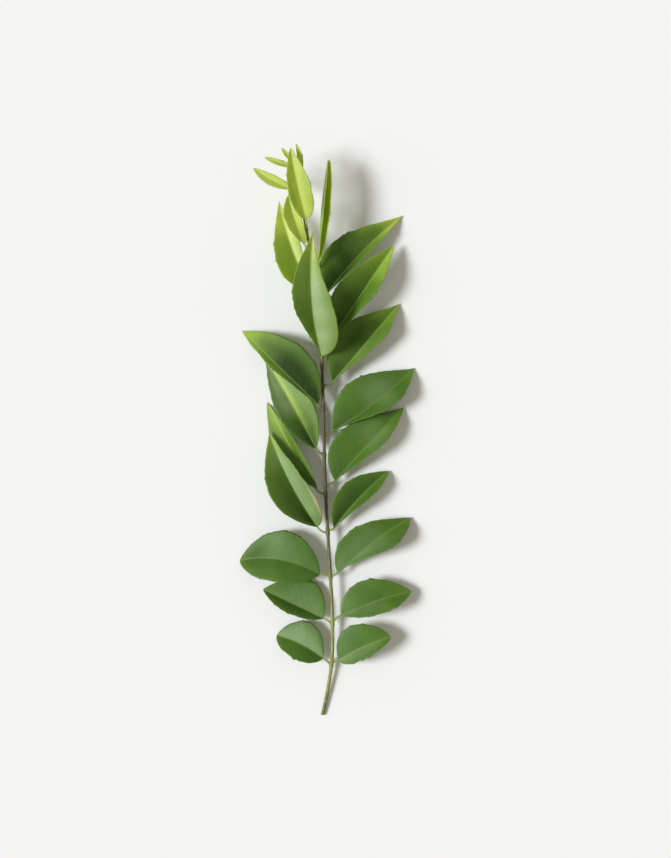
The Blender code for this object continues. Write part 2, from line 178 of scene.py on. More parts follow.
TIP_LEAFLETS = (
    Leaflet("tip_leaflet_1", LEFT, 97.8, (-15.2, 98.5, 0.4), (-30.6, 107.2, 20.0), 2.7, 2.7, 40, 40,
            arch=0.6, bow=-0.7, youth=1.0, near_bloom=1.0, far_bloom=1.0),
    Leaflet("tip_leaflet_2", LEFT, 105.6, (-15.4, 107.4, 0.3), (-25.9, 111.4, 22.0), 1.4, 1.4, 40, 40,
            arch=0.8, youth=1.0, near_bloom=0.8, far_bloom=0.8),
    Leaflet("tip_leaflet_3", LEFT, 108.6, (-15.0, 110.2, 0.3), (-18.8, 115.0, 23.0), 1.1, 1.1, 40, 40,
            arch=0.4, youth=1.0, near_bloom=0.8, far_bloom=0.8),
    Leaflet("tip_leaflet_4", RIGHT, 100.6, (-11.2, 104.6, 0.2), (-13.0, 116.6, 23.6), 1.3, 1.3, 40, 40,
            arch=0.8, bow=-0.8, youth=1.0, near_bloom=1.0, far_bloom=1.0),
)

# Blade, in millimetres unless it says otherwise.
ROWS = 133
COLUMNS = 45
COLUMN_EASE = 1.25  # over 1, so that columns lie closer at the midrib
BLADE_THICKNESS = 0.34
SINK = 0.12  # how far the upper face lies under the solid's
THIN_EDGE = 10.0  # a power: the higher, the closer to its edge the blade starts to thin
THIN_ENDS = 60.0  # and the same for its base and tip
FOLD_RADIUS = 0.8
FOLD_SHARE = 0.12  # the fold's radius at most, of the near half's width
TOOTH_PITCH = 3.4
TOOTH_DEPTH = 0.85
TOOTH_LEAN = 1.4  # a power over 1, so that a tooth rises slowly towards the tip
TOOTH_FALL = 0.78  # the share of a tooth at which it falls back
TOOTH_MEAN = 0.35  # about what teeth add on average, taken off so that the blade keeps its width
TOOTH_HOLD = 6.0  # a power: the higher, the closer teeth keep to the edge
TOOTH_DRIFT = 3.2  # how many teeth the edge's unevenness moves one by at most
EDGE_WAVES = 7.0  # how often an edge wanders between base and tip
EDGE_WANDER = 2.4  # how far it wanders, in tooth depths
EDGE_APART = 3.0  # keeps the two edges' unevenness different
RIPPLE = 0.55
RIPPLE_LENGTH = 11.0
RIPPLE_APART = 5.0  # keeps the two halves' ripples different
RIPPLE_SEED = 3.7  # spreads the seeds, so that no two leaflets ripple alike
VEIN_PITCH = 3.3
VEIN_RELIEF = 0.012
VEIN_NARROWNESS = 5.0  # a power: the higher, the narrower a vein's groove
VEIN_SLANT = 0.62  # how far forwards a side vein runs for each step out
VEIN_CURVE = 16.0  # and how far again for the square of the way out, in metres
VEIN_STAGGER = 0.23  # how far each half's veins are out of step, in pitches
VEIN_WAVES = 90.0  # how often a vein wavers in a metre
VEIN_WAVER = 0.9  # how far it wavers, in pitches
VEIN_SEED = 0.37  # what a leaflet's seed moves its veins by, in pitches
HEART_CORE = 0.4  # a young look along the midrib is whole this far out
HEART_WIDTH = 3.2  # and gone this far out
EDGE_YOUTH = 0.06  # how much younger the edge looks
AGE_WAVE = 0.14  # how far the look of age varies over a blade
SAME_POINT = 0.004  # closer points than this are merged
SEED_STEP = 1.7  # from one leaflet's seed to the next one's

# Stalk and rib: one curve, of which the first part is stalk.
STALK_SHARE = 0.16
STALK_FOOT = 0.35  # how much thicker the stalk is at the stem
RIB_RADIUS = 0.32
RIB_TAPER = 0.8
RIB_END = 0.12  # its radius at the tip, of the stalk's
RIB_GAP = 0.06  # how far the rib lies under the blade's upper face, over its own radius and the sink
RIB_STEPS = 64
RIB_SIDES = 10

# The growing tip's leaflets: their own numbers, and shares of the grown leaflets' sizes.
TIP_ROWS = 61
TIP_COLUMNS = 21
TIP_SCALE = 0.45
TIP_STALK = 0.7
TIP_RIB = 0.5
TIP_SEED = 40

# Rachis and bud.
STEM_STEP = 0.5
STEM_SIDES = 20
STEM_RELIEF = 0.05
RIDGES = (900.0, 55.0, 900.0)  # how many in a metre: across, along and upwards
LUMPS = (300.0, 300.0, 300.0)
RACHIS_SEED = 3.0
BUD_SEED = 7.0
RACHIS_YOUTH = 0.2
BUD_YOUTH = 0.9

YOUNG = 0.3  # from this youth on a leaflet takes the young finish, and its painted sheen turns yellow


def unit(vector):
    return vector / np.linalg.norm(vector)


def smooth_route(points, steps=16):
    """A Catmull-Rom curve through the points, sampled evenly between each two of them."""
    inner = np.array(points, float)
    held = np.vstack([2 * inner[0] - inner[1], inner, 2 * inner[-1] - inner[-2]])
    curve = []
    for a, b, c, d in zip(held, held[1:], held[2:], held[3:]):
        for step in range(steps):
            t = step / steps
            even = 2 * b + (c - a) * t
            bent = (2 * a - 5 * b + 4 * c - d) * t**2 + (3 * b - a - 3 * c + d) * t**3
            curve.append(0.5 * (even + bent))
    curve.append(inner[-1])
    return np.array(curve)


RACHIS_LINE = smooth_route(RACHIS_ROUTE)
BUD_LINE = smooth_route(BUD_ROUTE)


def point_on(line, y):
    """The point of a line that runs up Y, at that Y."""
    return np.array([np.interp(y, line[:, 1], line[:, axis]) for axis in range(3)])


def rachis_radius(y):
    """Taper from the cut end to the top, with a swelling at each leaflet's node."""
    plain = np.interp(y, (RACHIS_LINE[0, 1], RACHIS_LINE[-1, 1]), (CUT_RADIUS, TOP_RADIUS))
    nearest = min(abs(y - leaflet.node) for leaflet in LEAFLETS)
    return plain + NODE_SWELLING * max(0.0, 1 - (nearest / NODE_REACH) ** 2)


def placed(point):
    """Millimetres along the sprig's own lines, as metres from the origin."""
    return tuple(float(value) for value in (np.asarray(point) - np.array(MIDDLE)) * MM)


# ---------------------------------------------------------------- arithmetic in node trees


def feed(tree, given, slot):
    """Links a number or an arrow to a slot, or sets the slot to a plain value."""
    if isinstance(given, Wired):
        tree.links.new(given.socket, slot)
    else:
        slot.default_value = given


class Wired:
    """An output socket of a node tree."""

    def __init__(self, tree, socket):
        self.tree = tree
        self.socket = socket

    def node(self, kind, operation, kept, *given):
        made = self.tree.nodes.new(kind)
        made.operation = operation
        slots = [slot for slot in made.inputs if slot.enabled]
        for slot, value in zip(slots, given):
            feed(self.tree, value, slot)
        return kept(self.tree, next(slot for slot in made.outputs if slot.enabled))


class Number(Wired):
    """A number in a node tree: a sign between two numbers makes a Math node."""

    def math(self, operation, *others):
        return self.node("ShaderNodeMath", operation, Number, self, *others)

    def __add__(self, other):
        return self.math("ADD", other)

    __radd__ = __add__

    def __mul__(self, other):
        return self.math("MULTIPLY", other)

    __rmul__ = __mul__

    def __sub__(self, other):
        return self.math("SUBTRACT", other)

    def __rsub__(self, other):
        return (self * -1.0) + other

    def __truediv__(self, other):
        return self.math("DIVIDE", other)

    def __pow__(self, other):
        return self.math("POWER", other)

    def between(self, low, high):
        """0 at low and under, 1 at high and over, smooth between."""
        made = self.tree.nodes.new("ShaderNodeMapRange")
        made.interpolation_type = "SMOOTHSTEP"
        for slot, value in zip(made.inputs, (self, low, high, 0.0, 1.0)):
            feed(self.tree, value, slot)
        return Number(self.tree, made.outputs[0])


class Arrow(Wired):
    """A vector in a node tree."""

    def math(self, operation, *others, kept=None):
        return self.node("ShaderNodeVectorMath", operation, kept or Arrow, self, *others)

    def __add__(self, other):
        return self.math("ADD", other)

    def __sub__(self, other):
        return self.math("SUBTRACT", other)

    def __mul__(self, number):
        return self.math("SCALE", number)

    def dot(self, other):
        return self.math("DOT_PRODUCT", other, kept=Number)

    def cross(self, other):
        return self.math("CROSS_PRODUCT", other)

    def unit(self):
        return self.math("NORMALIZE")

    def parts(self):
        made = self.tree.nodes.new("ShaderNodeSeparateXYZ")
        feed(self.tree, self, made.inputs[0])
        return [Number(self.tree, slot) for slot in made.outputs]


def arrow(tree, x, y, z):
    made = tree.nodes.new("ShaderNodeCombineXYZ")
    for slot, value in zip(made.inputs, (x, y, z)):
        feed(tree, value, slot)
    return Arrow(tree, made.outputs[0])


def noise(tree, place, scale=1.0, detail=2.0, roughness=0.5):
    """Smooth noise round 0.5 at a place."""
    made = tree.nodes.new("ShaderNodeTexNoise")
    feed(tree, place, made.inputs["Vector"])
    feed(tree, scale, made.inputs["Scale"])
    made.inputs["Detail"].default_value = detail
    made.inputs["Roughness"].default_value = roughness
    return Number(tree, made.outputs[0])


class Tint(Wired):
    """A colour in a node tree."""


SOCKETS = {
    "number": ("NodeSocketFloat", Number),
    "count": ("NodeSocketInt", Number),
    "arrow": ("NodeSocketVector", Arrow),
    "geometry": ("NodeSocketGeometry", Wired),
    "material": ("NodeSocketMaterial", Wired),
}


def named_inputs(tree, inputs):
    """Gives a tree its named inputs, and returns them by name."""
    for label, kind in inputs.items():
        tree.interface.new_socket(label, in_out="INPUT", socket_type=SOCKETS[kind][0])
    entry = tree.nodes.new("NodeGroupInput")
    return {label: SOCKETS[kind][1](tree, entry.outputs[label]) for label, kind in inputs.items()}


def on_veins(veins, narrowness):
    """1 on each side vein, and 0 halfway between two of them."""
    return ((veins * (2 * math.pi)).math("COSINE") * 0.5 + 0.5) ** narrowness


# ---------------------------------------------------------------- geometry trees


class Shape:
    """A Geometry Nodes tree being built: its inputs by name, and short ways to add its nodes."""

    def __init__(self, name, inputs):
        self.tree = bpy.data.node_groups.new(name, "GeometryNodeTree")
        self.tree.interface.new_socket("Geometry", in_out="OUTPUT", socket_type="NodeSocketGeometry")
        self.given = named_inputs(self.tree, inputs)

    def add(self, kind, *linked, **settings):
        """A node with its settings, and its first sockets fed in order."""
        made = self.tree.nodes.new(kind)
        for label, value in settings.items():
            setattr(made, label, value)
        for slot, value in zip(made.inputs, linked):
            feed(self.tree, value, slot)
        return made

    def store(self, geometry, label, value, data_type="FLOAT", domain="POINT"):
        made = self.add("GeometryNodeStoreNamedAttribute", geometry, data_type=data_type, domain=domain)
        made.inputs["Name"].default_value = label
        feed(self.tree, value, made.inputs["Value"])
        return Wired(self.tree, made.outputs[0])

    def field(self, kind):
        """What a Position, Normal or Index node gives."""
        kept = Number if kind == "Index" else Arrow
        return kept(self.tree, self.tree.nodes.new("GeometryNodeInput" + kind).outputs[0])

    def attribute(self, label):
        made = self.add("GeometryNodeInputNamedAttribute", data_type="FLOAT")
        made.inputs["Name"].default_value = label
        return Number(self.tree, made.outputs["Attribute"])

    def through(self, kind, geometry, **sockets):
        """Sends geometry through a node and returns what comes out."""
        made = self.add(kind, geometry)
        for label, value in sockets.items():
            feed(self.tree, value, made.inputs[label.replace("_", " ")])
        return Wired(self.tree, made.outputs[0])

    def join(self, *parts):
        made = self.tree.nodes.new("GeometryNodeJoinGeometry")
        for part in reversed(parts):
            self.tree.links.new(part.socket, made.inputs[0])
        return Wired(self.tree, made.outputs[0])

    def finish(self, geometry, *materials):
        """Realize Instances and Set Material; a second material goes where 'rib' is set."""
        shown = self.through("GeometryNodeSetShadeSmooth", geometry)
        shown = self.through("GeometryNodeRealizeInstances", shown)
        shown = self.through("GeometryNodeSetMaterial", shown, Material=materials[0])
        if len(materials) > 1:
            rib = self.attribute("rib").math("GREATER_THAN", 0.5)
            shown = self.through("GeometryNodeSetMaterial", shown, Selection=rib, Material=materials[1])
        leaving = self.tree.nodes.new("NodeGroupOutput")
        self.tree.links.new(shown.socket, leaving.inputs[0])
        return self.tree


def sweep(shape, line, sides, radius):
    """A closed tube along a curve, with the radius in the attribute of that name."""
    circle = shape.add("GeometryNodeCurvePrimitiveCircle", sides)
    circle.inputs["Radius"].default_value = 1.0
    made = shape.add("GeometryNodeCurveToMesh", line, Wired(shape.tree, circle.outputs[0]))
    feed(shape.tree, shape.attribute(radius), made.inputs["Scale"])
    made.inputs["Fill Caps"].default_value = True
    return Wired(shape.tree, made.outputs[0])


LEAFLET_PLACES = ("Base", "Tip", "Stalk start", "Stalk turn")
LEAFLET_SIZES = (
    "Far width", "Near width", "Arch", "Bow", "Fold radius", "Thickness", "Sink", "Tooth depth", "Ripple",
    "Ripple length", "Vein pitch", "Vein relief", "Stalk radius", "Rib radius", "Rib gap",
)
LEAFLET_NUMBERS = (  # the leaflet's own fields that the tree takes as they are
    "side", "far_lift", "near_lift", "far_peak", "near_peak", "point", "curl",
    "youth", "tip_youth", "heart_youth", "far_youth", "far_bloom", "near_bloom",
    "far_drift", "near_drift", "apex", "dryness",
)


def label_of(field):
    """The tree's name for a leaflet's field."""
    return field.replace("_", " ").capitalize()


BLADE_INPUTS = {
    **dict.fromkeys(LEAFLET_PLACES, "arrow"),
    **dict.fromkeys(LEAFLET_SIZES, "number"),
    **dict.fromkeys((label_of(field) for field in LEAFLET_NUMBERS), "number"),
    "Teeth": "number",
    "Seed": "number",
    "Rows": "count",
    "Columns": "count",
    "Blade material": "material",
    "Stalk material": "material",
}


def leaf_frame(given):
    """Chord, and the leaf's own ahead, up and right."""
    chord = given["Tip"] - given["Base"]
    ahead = chord.unit()
    upright = arrow(ahead.tree, 0.0, 0.0, 1.0)
    up = (upright - ahead * upright.dot(ahead)).unit()
    return chord, ahead, up, ahead.cross(up)


def midrib_place(given, chord, up, right, along):
    """The midrib: the chord, arched upwards and bowed towards the far half."""
    swing = along * (1.0 - along) * 4.0
    bend = up * given["Arch"] - right * (given["Side"] * given["Bow"])
    return given["Base"] + chord * along + bend * swing


def leaflet_tree():
    """A leaflet by rule: a blade of two rising halves, and the stalk that runs on as the rib under it."""
    shape = Shape("leaflet", BLADE_INPUTS)
    given = shape.given
    tree = shape.tree
    chord, ahead, up, right = leaf_frame(given)
    length = chord.math("LENGTH", kept=Number)

    # The flat grid: x runs from the base to the tip, y across from the left edge to the right edge.
    # Rows lie closer at both ends.
    grid = shape.add("GeometryNodeMeshGrid", 1.0, 2.0, given["Rows"], given["Columns"])
    flat = Wired(tree, grid.outputs["Mesh"])
    x, y, _ = shape.field("Position").parts()
    even = x + 0.5
    eased = 0.5 - 0.5 * (even * math.pi).math("COSINE")
    along = even * 0.5 + eased * 0.5
    amid = (along * math.pi).math("SINE")  # 0 at both ends and 1 halfway
    turn = y.math("SIGN")
    reach = y.math("ABSOLUTE") ** COLUMN_EASE  # 0 on the midrib and 1 at the edge

    # The outline of each half.
    far = (turn * given["Side"]).math("LESS_THAN", 0.0)
    peak = given["Near peak"] + (given["Far peak"] - given["Near peak"]) * far
    widest = given["Near width"] + (given["Far width"] - given["Near width"]) * far
    degrees = given["Near lift"] + (given["Far lift"] - given["Near lift"]) * far
    lift = degrees * math.radians(1.0)
    opening = given["Point"] * peak / (1.0 - peak)
    outline = (along / peak) ** opening * ((1.0 - along) / (1.0 - peak)) ** given["Point"]
    least = (1.0 - along) * given["Stalk radius"]
    width = (widest * outline).math("MAXIMUM", least)

    # Shallow teeth lean towards the tip, on an edge that wanders a little.
    uneven = noise(tree, arrow(tree, along * EDGE_WAVES, turn * EDGE_APART, given["Seed"]))
    tooth_turn = (along * given["Teeth"] + uneven * TOOTH_DRIFT).math("FRACT")
    tooth = tooth_turn ** TOOTH_LEAN * (1.0 - tooth_turn.between(TOOTH_FALL, 1.0))
    tooth_size = given["Tooth depth"] * uneven.between(0.35, 0.7) * amid
    wander = (uneven - 0.5) * given["Tooth depth"] * EDGE_WANDER * amid
    width = width + ((tooth - TOOTH_MEAN) * tooth_size + wander) * reach ** TOOTH_HOLD

    # The fold is round at the midrib: flat on it, and at the full lift a little way out.
    out = width * reach
    slant = (out * out + given["Fold radius"] * given["Fold radius"]).math("SQRT")
    lift_here = lift * (out / slant)
    sideways = out * lift_here.math("COSINE")
    height = out * lift_here.math("SINE")
    facing = up * lift_here.math("COSINE") - right * (turn * lift_here.math("SINE"))

    # Veins, ripples and a thin edge, all along the face's normal.
    run = along * length
    veins = vein_count(tree, run, out, turn, given["Vein pitch"], given["Seed"])
    inner = reach.between(0.02, 0.2) * (1.0 - reach.between(0.72, 0.98))  # off the midrib and the edge
    relief = on_veins(veins, VEIN_NARROWNESS) * inner * given["Vein relief"] * amid
    wave_place = arrow(tree, run / given["Ripple length"], turn * RIPPLE_APART, given["Seed"] * RIPPLE_SEED)
    wave = noise(tree, wave_place, detail=1.0) - 0.5
    ripple = wave * 2.0 * given["Ripple"] * reach ** 2.0 * amid
    curl = given["Curl"] * width * reach * reach
    ends = 1.0 - (along * 2.0 - 1.0).math("ABSOLUTE") ** THIN_ENDS
    edge = (1.0 - reach ** THIN_EDGE).math("SQRT") * ends.math("SQRT")
    under = shape.attribute("under")
    depth = given["Sink"] + given["Thickness"] * (0.5 + (under - 0.5) * edge)
    off = ripple - curl - relief - depth

    middle = midrib_place(given, chord, up, right, along)
    surface = middle + right * (turn * sideways) + up * height + facing * off

    upper = shape.through("GeometryNodeFlipFaces", shape.store(flat, "under", 0.0))
    lower = shape.store(flat, "under", 1.0)
    blade = shape.join(upper, lower)
    blade = shape.store(blade, "leaf_place", arrow(tree, run, out * turn, reach), "FLOAT_VECTOR")
    blade = shape.store(blade, "leaf_veins", veins)
    blade = shape.store(blade, "leaf_age", leaf_age(given, along, reach, out, far, wave))
    blade = shape.store(blade, "leaf_dry", dry_edge(given, along, reach, far, uneven))
    # Painted sheen over 0 and painted shade under 0, carried to the blade's colour
    blade = shape.store(blade, "leaf_lighting", lighting(given, along, reach, far, wave))
    blade = shape.store(blade, "rib", 0.0)
    flat_map = arrow(tree, along * 0.5 + under * 0.5, y * 0.5 + 0.5, 0.0)
    blade = shape.store(blade, "UVMap", flat_map, "FLOAT2", "CORNER")
    blade = shape.through("GeometryNodeSetPosition", blade, Position=surface)
    blade = shape.through("GeometryNodeMergeByDistance", blade, Distance=SAME_POINT * MM)

    rib = rib_part(shape, chord, up, right, length)
    return shape.finish(shape.join(blade, rib), given["Blade material"], given["Stalk material"])


def vein_count(tree, run, out, turn, pitch, seed):
    """How many side veins have left the midrib by here: each whole number is a vein, curving forwards."""
    bend = out * VEIN_SLANT + out * out * VEIN_CURVE
    wander = noise(tree, arrow(tree, run * VEIN_WAVES, out * turn * VEIN_WAVES, seed), detail=1.0) - 0.5
    return (run - bend) / pitch + turn * VEIN_STAGGER + wander * VEIN_WAVER + seed * VEIN_SEED


def leaf_age(given, along, reach, out, far, wave):
    """Youth over the blade: more towards the apex, the edge and the midrib, less in the middle of a half."""
    to_tip = along.between(0.45, 1.0)
    to_edge = reach.between(0.86, 1.0)
    to_heart = (1.0 - out.between(HEART_CORE * MM, HEART_WIDTH * MM)) * along.between(0.0, 0.5)
    whole = given["Youth"] + given["Far youth"] * far
    age = whole + given["Tip youth"] * to_tip + given["Heart youth"] * to_heart
    return (age + to_edge * EDGE_YOUTH + wave * AGE_WAVE).math("MAXIMUM", 0.0).math("MINIMUM", 1.0)


def lighting(given, along, reach, far, wave):
    """Painted light on the half, a pale painted sheen over 0 and a painted shade under 0: thinner at the edge
    and towards the apex, and uneven in between.
    """
    half = given["Near bloom"] + (given["Far bloom"] - given["Near bloom"]) * far
    drift = given["Near drift"] + (given["Far drift"] - given["Near drift"]) * far
    run = half + drift * (along * 2.0 - 0.9) - given["Apex"] * along.between(0.55, 0.9)
    spread = (1.0 - reach.between(0.3, 0.95) * 0.75) * (1.0 - along.between(0.7, 1.0) * 0.5)
    return run * spread * (wave * 1.6 + 1.0)


def dry_edge(given, along, reach, far, uneven):
    """Where the far half's edge has dried, near the blade's base."""
    stretch = along.between(0.03, 0.12) * (1.0 - along.between(0.26, 0.46))
    return given["Dryness"] * far * stretch * (reach + (uneven - 0.5) * 0.3).between(0.66, 0.94)


def rib_part(shape, chord, up, right, length):
    """The stalk from the stem to the blade, and the rib that it becomes under the midrib."""
    tree = shape.tree
    given = shape.given
    line = Wired(tree, tree.nodes.new("GeometryNodeCurvePrimitiveLine").outputs[0])
    line = shape.through("GeometryNodeResampleCurve", line, Count=RIB_STEPS)
    run = shape.field("Index") / (RIB_STEPS - 1.0)
    share = (run / STALK_SHARE).math("MINIMUM", 1.0)
    along = ((run - STALK_SHARE) / (1.0 - STALK_SHARE)).math("MAXIMUM", 0.0)
    rest = 1.0 - share
    stalk = given["Stalk start"] * (rest * rest) + given["Stalk turn"] * (share * rest * 2.0)
    bladed = midrib_place(given, chord, up, right, along) - given["Base"]
    thin = given["Rib radius"] * (1.0 - along) ** RIB_TAPER + given["Stalk radius"] * RIB_END
    foot = 1.0 + STALK_FOOT * (1.0 - share.between(0.0, 0.35))
    whole = given["Stalk radius"] * foot
    radius = thin + (whole - thin) * (1.0 - share.between(0.6, 1.0))
    drop = thin + given["Sink"] + given["Rib gap"]
    path = stalk + given["Base"] * (share * share) + bladed - up * (drop * share)
    line = shape.store(line, "rib_radius", radius)
    line = shape.store(line, "leaf_place", arrow(tree, along * length, share, 0.0), "FLOAT_VECTOR")
    line = shape.store(line, "leaf_age", given["Youth"] + given["Tip youth"] * along)
    line = shape.through("GeometryNodeSetPosition", line, Position=path)
    return shape.store(sweep(shape, line, RIB_SIDES, "rib_radius"), "rib", 1.0)


STEM_INPUTS = {
    "Route": "geometry",
    "Relief": "number",
    "Seed": "number",
    "Youth": "number",
    "Skin material": "material",
}


def stem_tree():
    """A stem along the points it is given, with fine ridges that run along it."""
    shape = Shape("stem", STEM_INPUTS)
    tree = shape.tree
    given = shape.given
    line = shape.through("GeometryNodeMeshToCurve", given["Route"])
    tube = sweep(shape, line, STEM_SIDES, "stem_radius")
    tube = shape.store(tube, "leaf_age", given["Youth"])
    place = shape.field("Position")
    start = arrow(tree, 0.0, 0.0, given["Seed"])
    ridges = noise(tree, place.math("MULTIPLY", RIDGES) + start) - 0.5
    lumps = noise(tree, place.math("MULTIPLY", LUMPS) + start) - 0.5
    relief = shape.field("Normal") * ((ridges + lumps) * given["Relief"] * 2.0)
    tube = shape.through("GeometryNodeSetPosition", tube, Offset=relief)
    return shape.finish(tube, given["Skin material"])


def grown(name, tree, values, source=None):
    """Runs a geometry tree once on the source mesh, and keeps the plain mesh that comes out of it."""
    source = source or bpy.data.meshes.new(name + "_start")
    piece = bpy.data.objects.new(name, source)
    bpy.context.scene.collection.objects.link(piece)
    rule = piece.modifiers.new("rule", "NODES")
    rule.node_group = tree
    for item in tree.interface.items_tree:
        if item.in_out == "INPUT" and item.name in values:
            rule[item.identifier] = values[item.name]
    graph = bpy.context.evaluated_depsgraph_get()
    mesh = bpy.data.meshes.new_from_object(
        piece.evaluated_get(graph), preserve_all_data_layers=True, depsgraph=graph
    )
    piece.modifiers.remove(rule)
    piece.data = mesh
    mesh.name = name
    bpy.data.meshes.remove(source)
    return piece


# ---------------------------------------------------------------- colours and finishes


def tone(red, green, blue):
    """A colour from 0 to 255 on a screen, as the light values that a shader takes."""
    shares = [value / 255 for value in (red, green, blue)]
    light = [((share + 0.055) / 1.055) ** 2.4 if share > 0.04 else share / 12.92 for share in shares]
    return (*light, 1.0)


# Blades: green by age, and what lies over it.
AGES = (
    (0.0, tone(82, 124, 34)),
    (0.30, tone(110, 150, 38)),
    (0.60, tone(152, 190, 54)),
    (0.82, tone(188, 208, 70)),
    (1.0, tone(230, 240, 104)),
)
VEIN_AGES = (
    (0.0, tone(112, 142, 72)),
    (0.5, tone(158, 184, 84)),
    (1.0, tone(214, 226, 128)),
)
PALE_MARKS = {"Veins": 0.05, "Net": 0.05, "Midrib": 0.65, "Margin": 0.22}  # how much paler each mark is
# Painted light on blades: a pale painted sheen, a yellower painted sheen for young blades, and a deeper green
# painted shade
PAINTED_SHEEN = tone(198, 220, 168)
YOUNG_PAINTED_SHEEN = tone(242, 250, 140)
PAINTED_SHADE_GREEN = tone(38, 64, 12)
PALE_UNDER = tone(144, 166, 104)
DRIED = tone(196, 176, 128)
LEAF_SPECK = tone(70, 66, 30)
LIT_THROUGH = tone(176, 214, 40)

# Stalks: lime low on the sprig and tan above, each from the stem to the blade.
LIME_STALK = ((0.0, tone(140, 144, 66)), (0.45, tone(160, 172, 84)), (1.0, tone(136, 164, 84)))
TAN_STALK = ((0.0, tone(104, 84, 50)), (0.5, tone(126, 108, 66)), (1.0, tone(128, 146, 78)))
LIME_BELOW = -34.0  # millimetres along Y from the origin
TAN_ABOVE = -14.0
STALK_PATCH = tone(118, 84, 50)
STALK_SPECK = tone(72, 46, 28)

# Stem: from the cut end to the top.
STEM_SKIN = (
    (0.0, tone(110, 106, 62)),
    (0.03, tone(142, 150, 80)),
    (0.18, tone(152, 160, 86)),
    (0.32, tone(104, 108, 62)),
    (0.46, tone(84, 80, 46)),
    (0.72, tone(96, 80, 50)),
    (1.0, tone(160, 158, 84)),
)
STEM_STREAK = tone(86, 66, 40)
STEM_SPECK = tone(190, 178, 140)
CUT_FACE = tone(206, 196, 150)
CUT_DEPTH = (0.0001, 0.0009)  # the shares of the stem's length between which the cut's colour fades
STREAKS = (2600.0, 110.0, 2600.0)  # how many in a metre: across, along and upwards

FLOOR = tone(247, 246, 245)
FLOOR_GRAIN = 900.0  # grains in a metre
FLOOR_DEPTH = 0.02

# How many patches and grains each finish has in a metre, and the depth of its fine relief in millimetres.
MOTTLING = {
    "leaf": (95.0, 1500.0, 0.10),
    "stalk": (420.0, 2400.0, 0.06),
    "stem": (260.0, 1800.0, 0.08),
}
SPECKS = 0.22  # specks, of the grains in a metre
RARE_SPOTS = 2.3  # the places that have specks, of the patches in a metre
COAT_ROUGHNESS = 0.40
MIDRIB_CORE = 0.1  # the midrib's pale line is whole this far out, in millimetres
MIDRIB_WIDTH = 0.36  # and gone this far out
VEIN_FINENESS = 14.0  # a power: the higher, the finer the veins' colour
NET_CELLS = 1250.0  # meshes of the vein net in a metre


class Paint:
    """A shader tree being built: a material's, or that of an effect that materials share."""

    def __init__(self, tree):
        self.tree = tree

    def add(self, kind, **settings):
        made = self.tree.nodes.new(kind)
        for label, value in settings.items():
            setattr(made, label, value)
        return made

    def number(self, label):
        made = self.add("ShaderNodeAttribute", attribute_name=label)
        return Number(self.tree, made.outputs["Fac"])

    def arrow(self, label):
        made = self.add("ShaderNodeAttribute", attribute_name=label)
        return Arrow(self.tree, made.outputs["Vector"])

    def place(self):
        return Arrow(self.tree, self.add("ShaderNodeTexCoord").outputs["Object"])

    def mixed(self, share, first, second):
        made = self.add("ShaderNodeMix", data_type="RGBA")
        feed(self.tree, share, made.inputs["Factor"])
        feed(self.tree, first, next(slot for slot in made.inputs if slot.name == "A" and slot.enabled))
        feed(self.tree, second, next(slot for slot in made.inputs if slot.name == "B" and slot.enabled))
        return Tint(self.tree, next(slot for slot in made.outputs if slot.enabled))

    def ramp(self, value, stops):
        made = self.add("ShaderNodeValToRGB")
        feed(self.tree, value, made.inputs[0])
        elements = made.color_ramp.elements
        while len(elements) < len(stops):
            elements.new(0.5)
        for element, (position, colour) in zip(elements, stops):
            element.position = position
            element.color = colour
        return Tint(self.tree, made.outputs[0])

    def cells(self, place, scale, feature="DISTANCE_TO_EDGE"):
        made = self.add("ShaderNodeTexVoronoi", feature=feature)
        feed(self.tree, place, made.inputs["Vector"])
        feed(self.tree, scale, made.inputs["Scale"])
        return Number(self.tree, made.outputs[0])

    def effect(self, group, **given):
        """Places an effect, and returns its outputs by name."""
        made = self.add("ShaderNodeGroup", node_tree=group)
        for label, value in given.items():
            feed(self.tree, value, made.inputs[label.replace("_", " ")])
        return {slot.name: Number(self.tree, slot) for slot in made.outputs}

    def surfaced(self, shader, colour, roughness, height, depth):
        """Feeds a Principled shader its colour, its roughness, and its relief of a depth in millimetres."""
        bump = self.add("ShaderNodeBump")
        bump.inputs["Strength"].default_value = 1.0
        bump.inputs["Distance"].default_value = depth * MM
        feed(self.tree, height, bump.inputs["Height"])
        feed(self.tree, colour, shader.inputs["Base Color"])
        feed(self.tree, roughness, shader.inputs["Roughness"])
        self.tree.links.new(bump.outputs[0], shader.inputs["Normal"])

    def shown(self, shader):
        out = self.add("ShaderNodeOutputMaterial")
        self.tree.links.new(shader.outputs[0], out.inputs["Surface"])


def effect_group(name, inputs, outputs, build):
    """A shader group with named inputs and number outputs, filled in by a function from one to the other."""
    tree = bpy.data.node_groups.new(name, "ShaderNodeTree")
    for label in outputs:
        tree.interface.new_socket(label, in_out="OUTPUT", socket_type=SOCKETS["number"][0])
    given = named_inputs(tree, inputs)
    leaving = tree.nodes.new("NodeGroupOutput")
    for label, value in build(Paint(tree), given).items():
        feed(tree, value, leaving.inputs[label])
    return tree


def vein_marks(paint, given):
    """Where the side veins, the midrib, the fine net and the margin lie on a blade."""
    run, aside, reach = given["Place"].parts()
    out = aside.math("ABSOLUTE")
    veins = on_veins(given["Veins"], given["Fineness"]) * (1.0 - reach.between(0.78, 1.0))
    midrib = 1.0 - out.between(MIDRIB_CORE * MM, given["Midrib width"])
    net = 1.0 - paint.cells(arrow(paint.tree, run, aside, 0.0), NET_CELLS).between(0.0, 0.16)
    margin = reach.between(0.955, 0.995)
    return {"Veins": veins, "Midrib": midrib, "Net": net, "Margin": margin}


